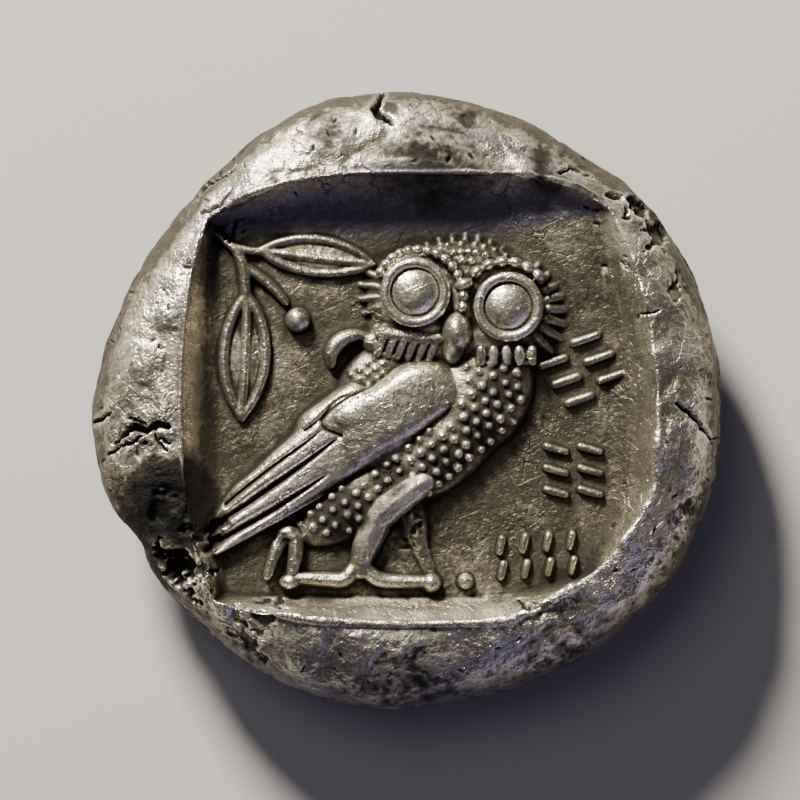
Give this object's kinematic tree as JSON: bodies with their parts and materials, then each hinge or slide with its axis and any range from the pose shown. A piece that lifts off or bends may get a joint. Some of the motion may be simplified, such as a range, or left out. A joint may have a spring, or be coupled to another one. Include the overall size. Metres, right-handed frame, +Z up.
{
  "type": "tetradrachm coin",
  "caption": "Ancient struck silver coin with a standing owl in a sunk square, an olive sprig and shallow strokes, lying on its worn obverse.",
  "frame": {"origin": "under the middle of the coin's box, on the plane that its worn obverse rests on", "axes": "+Z up through the coin, out of the owl side; +Y towards the owl's head; +X to the right of the owl side"},
  "size_m": [0.0246, 0.024, 0.0063],
  "materials": {
    "silver": "worn toned silver, bright on the high parts and dark in the hollows"
  },
  "bodies": {
    "root": {"coin": "silver"}
  },
  "joints": []
}
